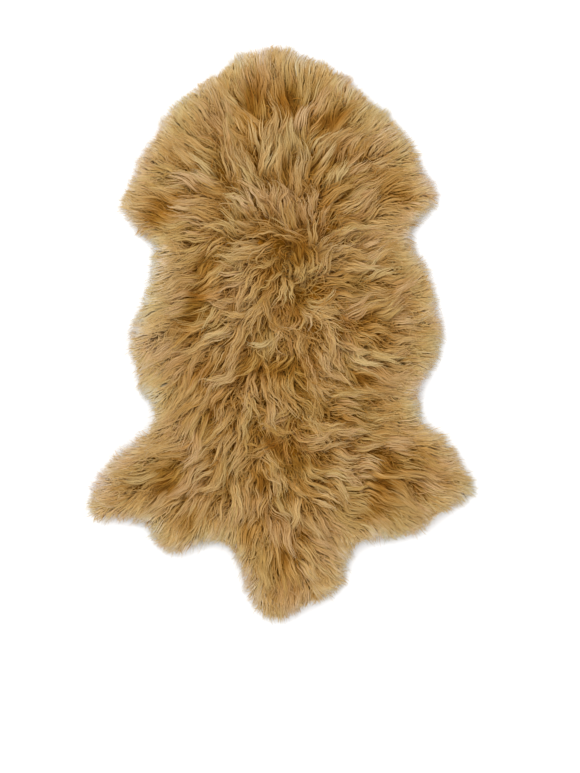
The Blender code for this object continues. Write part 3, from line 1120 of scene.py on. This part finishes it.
def hair_shapes(roots, tufts, settings, seed):
    """The hairs of the locks with these roots: the middle of each ribbon and half its width
    as a vector, at each row from root to tip, each hair's hue and tone, and the place of each
    row on the way from the root's colour to the tip's: its ripeness, lowered as painted shade
    on low-lying hairs and in hollows, and raised as a painted highlight on crests.

    A lock walks as its tuft does, and is drawn in to the tuft's own path on the way. A hair
    keeps its place in the lock, but for a part that the lock closes up. Its height rises from
    the skin as 1 - (1 - t)^HAIR_RISE to its level, a share of the wool's height. The level
    falls with the square of the distance from the middle of its tuft, and in a hollow. The
    wave is a sine sideways, and a weaker one up and down. Near the rim the wool is brushed
    out: higher, straighter and more even, in its place as in its tone, and at the rim itself
    paler. A ribbon is 0.55 of its width at its foot, its whole width from 0.3 to 0.5 of its
    length, and 0.12 of it at its tip."""
    draw = np.random.default_rng(seed)
    locks = len(roots)
    tuft, gap = tufts.nearest(roots)
    curl, stands = curliness(roots), upright(roots)
    turn, bend = tufts.shared(roots)
    turn = turn + draw.normal(0, 1, locks) * varied(LOCK_TURN, curl, stands)
    bend = bend + draw.normal(0, 1, locks) * varied(LOCK_BEND, curl, stands)
    paths = walked(roots, turn, bend)
    overhang = tufts.overhang[tuft] + draw.normal(-1.6, 1, locks).clip(-3.5, 1) * 2.0 * MM
    length = tufts.length[tuft] * draw.uniform(*LOCK_LENGTHS, locks)
    length = length * (1 - UPRIGHT_SHORT * stands)
    reach = np.minimum(reach_of(paths, overhang), length)
    middle = along(paths, 0.5 * reach[:, None])[:, 0]
    brushed = combed_out(middle)
    rough = 1 - BRUSHED_EVEN * brushed

    own = np.repeat(np.arange(locks), settings.hairs_per_lock)  # each hair's lock
    count = len(own)
    t = HAIR_ROWS
    distance = reach[own, None] * draw.uniform(*HAIR_LENGTHS, count)[:, None] * t
    places = along(paths[own], distance)
    side = left_of(paths[own], distance)

    # The tuft draws its locks together, and the lock its hairs
    axis = along(tufts.paths[tuft[own]], distance)
    apart = ((places - axis) * side).sum(axis=-1)
    drawn = TUFT_CLOSING * rough[own, None] * smooth(t, 0.1, 1.0)
    places = places - (drawn * apart)[..., None] * side
    angle, radius = draw.uniform(0, math.tau, count), np.sqrt(draw.uniform(0, 1, count))
    sideways = settings.lock_radius * radius * np.cos(angle)
    upwards = LOCK_FLATNESS * settings.lock_radius * radius * np.sin(angle) * rough[own]
    closing = draw.uniform(*LOCK_CLOSING, count) * rough[own]
    closing = 1 - closing[:, None] * smooth(t, 0.05, 0.9)

    # The wave
    crimp = tufts.crimp[tuft[own]] * draw.uniform(*LOCK_CRIMPS, locks)[own]
    fringe = 1 - smooth(INSIDE.at(places[:, -1]), 2 * MM, 28 * MM)  # 1 for a tip at the rim
    depth = settings.crimp_depth * (FLAT_WAVES + (1 - FLAT_WAVES) * curl)[own]
    depth = depth * tufts.depth[tuft[own]]
    depth = depth * (1 - BRUSHED_WAVES * brushed[own]) * draw.uniform(*HAIR_DEPTHS, count)
    phase = tufts.phase[tuft[own]] + draw.normal(0, 0.5, locks)[own] + draw.normal(0, 0.3, count)
    turns = math.tau * distance / crimp[:, None] + phase[:, None]
    grown = smooth(t, 0.05, 0.4)
    wave = depth[:, None] * grown * np.sin(turns)
    heave = HEAVE * depth[:, None] * grown * np.cos(turns)
    plan = places + (sideways[:, None] * closing + wave)[..., None] * side

    # The height
    dome = 1 - DOME_DROP * (gap / (DOME_REACH * settings.tuft_spacing)).clip(0, 1.3) ** 2
    level = tufts.level[tuft] * dome + LEVEL_UNEVEN * swell(roots, "height")
    level = level + BRUSHED_LIFT * brushed * (BRUSHED_LEVEL - level)
    level = level[own] + draw.normal(0, HAIR_UNEVEN, count) * rough[own]
    level = level + RIM_LIFT * fringe * (RIM_LEVEL - level)
    high = smooth(level, 0.6, 0.95)
    uneven = HOLLOW_UNEVEN * (1 - BRUSHED_HOLLOWS * brushed) * swell(roots, "hollows")
    deep = (hollow(plan) + uneven[own, None]).clip(-1, 1)
    level = (level[:, None] - sunk(deep)).clip(0.35, 1.05)
    rise = 1 - (1 - t) ** HAIR_RISE
    height = HEIGHT.at(plan) * level * rise
    height = height + upwards[:, None] * closing * rise + heave * rise
    height = np.maximum(height, SKIN_THICKNESS * (1 - rise) + LOWEST_HAIR)
    centre = np.dstack([plan, height])

    # Each ribbon is rolled about its own line, and twists a little on its way
    roll = draw.normal(0, HAIR_ROLL, count)[:, None]
    roll = roll + draw.normal(0, HAIR_TWIST, count)[:, None] * t
    width = settings.hair_width * draw.uniform(*HAIR_WIDTHS, count) * (1 - 0.2 * fringe)
    taper = (0.55 + 0.45 * smooth(t, 0, 0.3)) * (1 - 0.88 * smooth(t, 0.5, 1.0))
    half = half_widths(centre, side, roll * rough[own, None], width, taper)

    # The colour
    patches = MIDDLE_TONE + BROAD_PATCHES * swell(roots, "broad patches")
    patches = patches + SMALL_PATCHES * swell(roots, "small patches")
    # Hollows darken the tone here as painted shade
    patches = patches - HOLLOW_SHADE_TONE * hollow(middle) - CURL_TONE * curl
    tone = (patches + (1 - BRUSHED_TONE * brushed) * tufts.tone[tuft])[own]
    tone = tone + (draw.normal(0, LOCK_TONE, locks) * rough)[own]
    tone = (tone + draw.normal(0, HAIR_TONE, count) * rough[own]).clip(0, MOST_TONE)
    tone = tone - BRUSHED_DARKER * brushed[own] + RIM_PALER * fringe
    # Hairs that lie lower get less ripeness: painted shade for their depth in the pile
    ripe_and_shade = (0.2 + 0.8 * t) * (0.60 + 0.40 * high[:, None])
    inner = 1 - fringe[:, None] * smooth(t, 0.6, 0.9)  # all but the ends of the fringe
    ripe_and_shade = ripe_and_shade + BRUSHED_RIPENS * brushed[own, None] * inner * (BRUSHED_RIPE - ripe_and_shade)
    ripe_and_shade = painted_hollow_light(ripe_and_shade, deep) * (0.80 + 0.20 * fringe)[:, None]
    return centre, half, hues_at(roots[own], draw), tone.clip(0, 0.999), ripe_and_shade


def underwool_shapes(settings, seed):
    """Short, curly hairs under the locks, each on its own way, so that no gap between the
    locks is bare. Their low tone and colour near the root's are painted shade in those gaps.
    They rise as 1 - (1 - t)^SHORT_RISE, and end 4 mm inside the outline. Where the wool is
    brushed out they lie higher, more level and paler, with less painted shade."""
    draw = np.random.default_rng(seed)
    roots = scattered(settings.underwool_spacing, SKIN_INSET, draw)
    count = len(roots)
    turn = draw.normal(0, 1, count) * (0.4 + 1.6 * upright(roots))
    paths = walked(roots, turn, draw.normal(0, 15, count))
    reach = reach_of(paths, np.full(count, -4 * MM))
    reach = np.minimum(reach, draw.uniform(*UNDERWOOL_LENGTHS, count) * MM)
    t = UNDERWOOL_ROWS
    distance = reach[:, None] * t
    places = along(paths, distance)
    deep = hollow(places)
    brushed = combed_out(places)
    level = draw.uniform(*UNDERWOOL_LEVELS, count)[:, None]
    level = level + 0.8 * brushed * (0.96 - level) - sunk(deep)
    height = HEIGHT.at(places) * level * (1 - (1 - t) ** SHORT_RISE)
    centre = np.dstack([places, np.maximum(height, LOWEST_HAIR)])
    roll = draw.normal(0, UNDERWOOL_ROLL, count)[:, None] * (1 - 0.8 * brushed)
    width = settings.hair_width * draw.uniform(*UNDERWOOL_WIDTHS, count)
    half = half_widths(centre, left_of(paths, distance), roll, width, 1 - 0.8 * t**2)
    # The low tone and ripeness are painted shade under the locks
    tone = UNDERWOOL_TONE + draw.normal(0, 0.10, count)
    ripe_and_shade = 0.09 + 0.36 * t + 0.33 * brushed
    return centre, half, hues_at(roots, draw), tone.clip(0, 0.999), painted_hollow_light(ripe_and_shade, deep)


def fringe_shapes(tufts, settings, seed):
    """The fine hairs that soften the outline: thin, pale, each on its own way and at its own
    height, rising as 1 - (1 - t)^SHORT_RISE. Most end with their tuft, and a few long wisps
    reach past it."""
    draw = np.random.default_rng(seed)
    roots = scattered(settings.fringe_spacing, SKIN_INSET - 2 * MM, draw)
    roots = roots[INSIDE.at(roots) < SKIN_INSET + 15 * MM]
    count = len(roots)
    paths = walked(roots, draw.normal(0, 0.16, count), draw.normal(0, 7, count))
    overhang = 0.9 * tufts.overhang[tufts.nearest(roots)[0]]
    overhang = overhang + draw.normal(0, 1, count).clip(-3, 2.2) * 2.4 * MM
    overhang = overhang + (draw.exponential(1, count).clip(0, 5) - 1) * 2.0 * MM
    reach = np.minimum(reach_of(paths, overhang), settings.hair_length)
    reach = reach * draw.uniform(*FRINGE_LENGTHS, count)
    t = FRINGE_ROWS
    distance = reach[:, None] * t
    side = left_of(paths, distance)
    crimp = settings.crimp_length * draw.uniform(*FRINGE_CRIMPS, count)
    turns = math.tau * distance / crimp[:, None] + draw.uniform(0, math.tau, count)[:, None]
    depth = draw.uniform(*FRINGE_DEPTHS, count)[:, None] * MM
    wave = depth * smooth(t, 0.1, 0.5) * np.sin(turns)
    plan = along(paths, distance) + wave[..., None] * side
    rise = 1 - (1 - t) ** SHORT_RISE
    height = HEIGHT.at(plan) * draw.uniform(*FRINGE_LEVELS, count)[:, None] * rise
    height = height + 3 * MM * draw.uniform(-1.5, 1, count)[:, None] * t**2
    centre = np.dstack([plan, np.maximum(height, LOWEST_HAIR)])
    roll = draw.normal(0, FRINGE_ROLL, count)[:, None]
    width = settings.hair_width * draw.uniform(*FRINGE_WIDTHS, count)
    half = half_widths(centre, side, roll, width, 1 - 0.75 * t**2)
    tone = FRINGE_TONE + draw.normal(0, 0.08, count)
    ripe_and_shade = 0.25 + 0.75 * t + np.zeros((count, 1))
    return centre, half, hues_at(roots, draw), tone.clip(0, 0.999), ripe_and_shade


def ribbons(name, centre, half, hue, tone, ripe_and_shade, material):
    """One mesh of ribbons: each hair's two edges are centre - half and centre + half, and a
    face that looks up joins each row to the next. Its hue and tone pick its column of the
    wool's map, and its last argument is the place along it, which carries the painted shade
    and highlights."""
    count, rows = centre.shape[:2]
    points = np.stack([centre - half, centre + half], axis=2)
    corner = np.arange(count * rows * 2).reshape(count, rows, 2)
    quads = np.stack([
        corner[:, :-1, 0], corner[:, 1:, 0], corner[:, 1:, 1], corner[:, :-1, 1]], axis=-1)
    mesh = bpy.data.meshes.new(name)
    mesh.vertices.add(points.size // 3)
    mesh.vertices.foreach_set("co", points.ravel())
    faces = quads.size // 4
    mesh.loops.add(quads.size)
    mesh.polygons.add(faces)
    mesh.loops.foreach_set("vertex_index", quads.ravel())
    mesh.polygons.foreach_set("loop_start", np.arange(0, 4 * faces, 4))
    mesh.update(calc_edges=True)
    column = hue * TONES + np.minimum((tone * TONES).astype(int), TONES - 1)
    across = np.array([0.1, 0.9])
    u = (column[:, None, None] + across) / (HUES * TONES) + np.zeros((1, rows, 1))
    v = ripe_and_shade.clip(0.002, 0.998)[..., None] + np.zeros((count, 1, 2))
    uv = np.stack([u, v], axis=-1).reshape(-1, 2)
    layer = mesh.uv_layers.new(name=UV_NAME)
    layer.data.foreach_set("uv", uv[quads.ravel()].ravel())
    mesh.materials.append(material)
    mesh.shade_smooth()
    made = bpy.data.objects.new(name, mesh)
    bpy.context.scene.collection.objects.link(made)
    return made


# ---------------------------------------------------------------- operators


class SHEEPSKIN_OT_hide(bpy.types.Operator):
    """Lays the tanned hide on the floor, a sheet of even thickness inside the wool's edge"""

    bl_idname = "sheepskin.hide"
    bl_label = "Hide"

    def execute(self, context):
        carried(closed_mat(
            "hide", contour(SKIN_INSET), SKIN_TRIANGLE,
            lambda places: np.full(len(places), SKIN_THICKNESS), 0.0, hide_material()))
        return {"FINISHED"}


class SHEEPSKIN_OT_undercoat(bpy.types.Operator):
    """Grows the dense, short wool that fills the space under the locks"""

    bl_idname = "sheepskin.undercoat"
    bl_label = "Undercoat"

    def execute(self, context):
        carried(closed_mat(
            "undercoat", contour(UNDERCOAT_INSET), UNDERCOAT_TRIANGLE, undercoat_height,
            SKIN_THICKNESS + 0.3 * MM, undercoat_material()))
        return {"FINISHED"}


class SHEEPSKIN_OT_wool(bpy.types.Operator):
    """Grows the locks of wool, in one piece for each part of the skin"""

    bl_idname = "sheepskin.wool"
    bl_label = "Wool"

    def execute(self, context):
        settings = context.scene.sheepskin_wool
        material = wool_material()
        tufts = Tufts(settings)
        draw = np.random.default_rng(settings.seed + 1)
        roots = scattered(settings.lock_spacing, SKIN_INSET - 3 * MM, draw)
        extra = scattered(settings.whorl_spacing, SKIN_INSET, draw)
        roots = np.concatenate([roots, extra[upright(extra) > 0.3]])
        free = np.ones(len(roots), bool)
        for number, (name, x_low, x_high, y_low, y_high) in enumerate(WOOL_PIECES):
            x, y = roots.T
            here = free & (x >= x_low) & (x < x_high) & (y >= y_low) & (y < y_high)
            free &= ~here
            shapes = hair_shapes(roots[here], tufts, settings, settings.seed + 100 + number)
            carried(ribbons(name, *shapes, material))
        carried(ribbons(FRINGE, *fringe_shapes(tufts, settings, settings.seed + 2), material))
        carried(ribbons(UNDERWOOL, *underwool_shapes(settings, settings.seed + 3), material))
        if free.any():
            raise RuntimeError("some locks are in none of WOOL_PIECES")
        return {"FINISHED"}


class SHEEPSKIN_OT_stage(bpy.types.Operator):
    """Sets the pale floor, the soft light and the camera straight above"""

    bl_idname = "sheepskin.stage"
    bl_label = "Stage"

    def execute(self, context):
        settings = context.scene.sheepskin_stage
        corners = [(x * FLOOR_HALF, y * FLOOR_HALF, 0)
                   for x, y in ((-1, -1), (1, -1), (1, 1), (-1, 1))]
        mesh_object("floor", corners, [(0, 1, 2, 3)], floor_material())

        world = bpy.data.worlds.new("studio")
        world.use_nodes = True
        background = world.node_tree.nodes["Background"]
        background.inputs["Color"].default_value = (1.0, 1.0, 1.0, 1.0)
        background.inputs["Strength"].default_value = settings.sky
        context.scene.world = world

        lamp = bpy.data.lights.new("softbox", "AREA")
        lamp.shape = "DISK"
        lamp.size = LAMP_SIZE
        lamp.energy = settings.lamp
        softbox = bpy.data.objects.new("softbox", lamp)
        softbox.location = LAMP_PLACE
        softbox.rotation_euler = (
            Vector((0, 0, 0)) - softbox.location).to_track_quat("-Z", "Y").to_euler()
        context.scene.collection.objects.link(softbox)

        # The camera looks straight down at the middle of the picture, from as far as the
        # picture's height needs
        pixel = (CAD_BOX[1][1] - CAD_BOX[0][1]) / RUG_PIXELS
        right = PICTURE_MIDDLE[0] - RUG_MIDDLE[0]
        ahead = RUG_MIDDLE[1] - PICTURE_MIDDLE[1]
        camera = bpy.data.cameras.new("camera")
        camera.lens = settings.lens
        camera.sensor_width = SENSOR / MM
        camera.sensor_fit = "AUTO"
        distance = PICTURE_HEIGHT * pixel * settings.lens * MM / SENSOR
        view = bpy.data.objects.new("camera", camera)
        view.location = (right * pixel, ahead * pixel, distance + RUG_LEVEL)
        context.scene.collection.objects.link(view)
        context.scene.camera = view
        context.scene.view_settings.view_transform = "Standard"
        return {"FINISHED"}


class SHEEPSKIN_PT_panel(bpy.types.Panel):
    """Lists the settings and the operators"""

    bl_label = "Sheepskin Rug"
    bl_space_type = "VIEW_3D"
    bl_region_type = "UI"
    bl_category = "Sheepskin"

    def draw(self, context):
        for group in (context.scene.sheepskin_wool, context.scene.sheepskin_colours,
                      context.scene.sheepskin_stage):
            box = self.layout.box()
            for name in group.bl_rna.properties.keys():
                if name not in ("name", "rna_type"):
                    box.prop(group, name)
        for operator in OPERATORS:
            self.layout.operator(operator.bl_idname)


# In the order in which they run
OPERATORS = (
    SHEEPSKIN_OT_stage, SHEEPSKIN_OT_hide, SHEEPSKIN_OT_undercoat, SHEEPSKIN_OT_wool)
SETTINGS = {
    "sheepskin_wool": WoolSettings,
    "sheepskin_colours": ColourSettings,
    "sheepskin_stage": StageSettings,
}


def register():
    for group in (*SETTINGS.values(), *OPERATORS, SHEEPSKIN_PT_panel):
        bpy.utils.register_class(group)
    for name, group in SETTINGS.items():
        setattr(bpy.types.Scene, name, PointerProperty(type=group))


def unregister():
    for name in SETTINGS:
        delattr(bpy.types.Scene, name)
    for group in (SHEEPSKIN_PT_panel, *OPERATORS, *SETTINGS.values()):
        bpy.utils.unregister_class(group)


def declare_sheet():
    """The hide is a sheet, cut to its outline, and all the rest is on it. This finds that
    outline and does nothing more with it.
    """
    line = contour(SKIN_INSET)


def main():
    register()
    bpy.ops.sheepskin.stage()
    bpy.ops.sheepskin.hide()
    bpy.ops.sheepskin.undercoat()
    bpy.ops.sheepskin.wool()
    declare_sheet()


if __name__ == "__main__":
    main()
